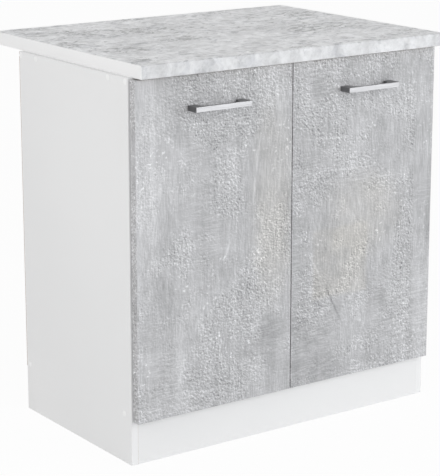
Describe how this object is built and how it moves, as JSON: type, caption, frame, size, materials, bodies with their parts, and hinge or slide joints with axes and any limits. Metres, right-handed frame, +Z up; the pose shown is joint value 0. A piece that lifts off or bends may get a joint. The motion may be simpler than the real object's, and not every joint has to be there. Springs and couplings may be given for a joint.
{
  "type": "vanity base cabinet",
  "caption": "Free-standing base cabinet with hinged doors, bar handles, a shelf and an overhanging worktop for a basin or for storage.",
  "frame": {"origin": "on the floor, under the middle of the whole object's box, screw caps and worktop included", "axes": "+X to the right seen from the front, +Y to the back, +Z up"},
  "size_m": [0.8118, 0.618, 0.848],
  "materials": {
    "white_board": "satin white melamine on chipboard",
    "white_band": "satin white edge band",
    "hardboard": "thin hardboard, white inside and brown outside",
    "chipboard": "raw chipboard",
    "marble_laminate": "grey-beige marble look, satin",
    "concrete_board": "concrete look, matt",
    "concrete_band": "concrete look, matt",
    "satin_metal": "satin, brushed lengthways",
    "zinc_screw": "zinc plated",
    "nickel_hinge": "nickel plated",
    "bracket_steel": "galvanised",
    "white_plastic": "matt white",
    "clear_buffer": "milky soft plastic",
    "beech": "plain beech"
  },
  "bodies": {
    "carcass": {"left_side_panel": "white_board", "right_side_panel": "white_board", "bottom_panel": "white_board", "front_top_rail": "white_board", "rear_top_rail": "white_board", "plinth_board": "white_board", "shelf": "white_board", "side_edge_bands": "white_band", "cross_edge_bands": "white_band", "shelf_edge_band": "white_band", "back_panel_left": "hardboard", "back_panel_right": "hardboard", "back_joint_strip": "white_plastic", "back_nails": "zinc_screw", "shelf_supports": "nickel_hinge", "wood_dowels": "beech", "carcass_screws": "zinc_screw", "screw_caps": "white_plastic", "plinth_brackets": "bracket_steel", "plinth_screws": "zinc_screw", "worktop_board": "chipboard", "worktop_laminate": "marble_laminate", "worktop_end_bands": "white_band", "worktop_screws": "zinc_screw", "left_hinge_plates": "nickel_hinge", "left_hinge_arms": "nickel_hinge", "left_hinge_arm_pins": "nickel_hinge", "left_plate_screws": "zinc_screw", "left_arm_screws": "zinc_screw", "right_hinge_plates": "nickel_hinge", "right_hinge_arms": "nickel_hinge", "right_hinge_arm_pins": "nickel_hinge", "right_plate_screws": "zinc_screw", "right_arm_screws": "zinc_screw"},
    "left_inner_links": {"left_hinge_inner_links": "nickel_hinge"},
    "left_outer_links": {"left_hinge_outer_links": "nickel_hinge"},
    "left_door": {"left_door_panel": "concrete_board", "left_door_edge_bands": "concrete_band", "left_handle": "satin_metal", "left_handle_screws": "zinc_screw", "left_door_buffers": "clear_buffer", "left_hinge_cups": "nickel_hinge", "left_hinge_cup_pins": "nickel_hinge", "left_cup_screws": "zinc_screw"},
    "right_inner_links": {"right_hinge_inner_links": "nickel_hinge"},
    "right_outer_links": {"right_hinge_outer_links": "nickel_hinge"},
    "right_door": {"right_door_panel": "concrete_board", "right_door_edge_bands": "concrete_band", "right_handle": "satin_metal", "right_handle_screws": "zinc_screw", "right_door_buffers": "clear_buffer", "right_hinge_cups": "nickel_hinge", "right_hinge_cup_pins": "nickel_hinge", "right_cup_screws": "zinc_screw"}
  },
  "joints": [
    {"name": "left_inner_link_swing", "type": "hinge", "parent": "carcass", "child": "left_inner_links", "pos_m": [-0.36731, -0.25649, 0.4565], "axis": [0, 0, 1], "range_deg": [0, 15.4]},
    {"name": "left_outer_link_swing", "type": "hinge", "parent": "carcass", "child": "left_outer_links", "pos_m": [-0.3612, -0.25641, 0.4565], "axis": [0, 0, 1], "range_deg": [0, 29.6]},
    {"name": "left_door_swing", "type": "hinge", "parent": "left_inner_links", "child": "left_door", "pos_m": [-0.3927, -0.26706, 0.4565], "axis": [0, 0, -1], "range_deg": [0, 110.38]},
    {"name": "right_inner_link_swing", "type": "hinge", "parent": "carcass", "child": "right_inner_links", "pos_m": [0.35711, -0.25649, 0.4565], "axis": [0, 0, -1], "range_deg": [0, 15.4]},
    {"name": "right_outer_link_swing", "type": "hinge", "parent": "carcass", "child": "right_outer_links", "pos_m": [0.351, -0.25641, 0.4565], "axis": [0, 0, -1], "range_deg": [0, 29.6]},
    {"name": "right_door_swing", "type": "hinge", "parent": "right_inner_links", "child": "right_door", "pos_m": [0.3825, -0.26706, 0.4565], "axis": [0, 0, 1], "range_deg": [0, 110.38]}
  ],
  "couplings": [
    {"joint": "left_inner_link_swing", "follows": "left_door_swing", "ratio": 0.13931},
    {"joint": "left_outer_link_swing", "follows": "left_door_swing", "ratio": 0.26776},
    {"joint": "right_inner_link_swing", "follows": "right_door_swing", "ratio": 0.13931},
    {"joint": "right_outer_link_swing", "follows": "right_door_swing", "ratio": 0.26776}
  ]
}
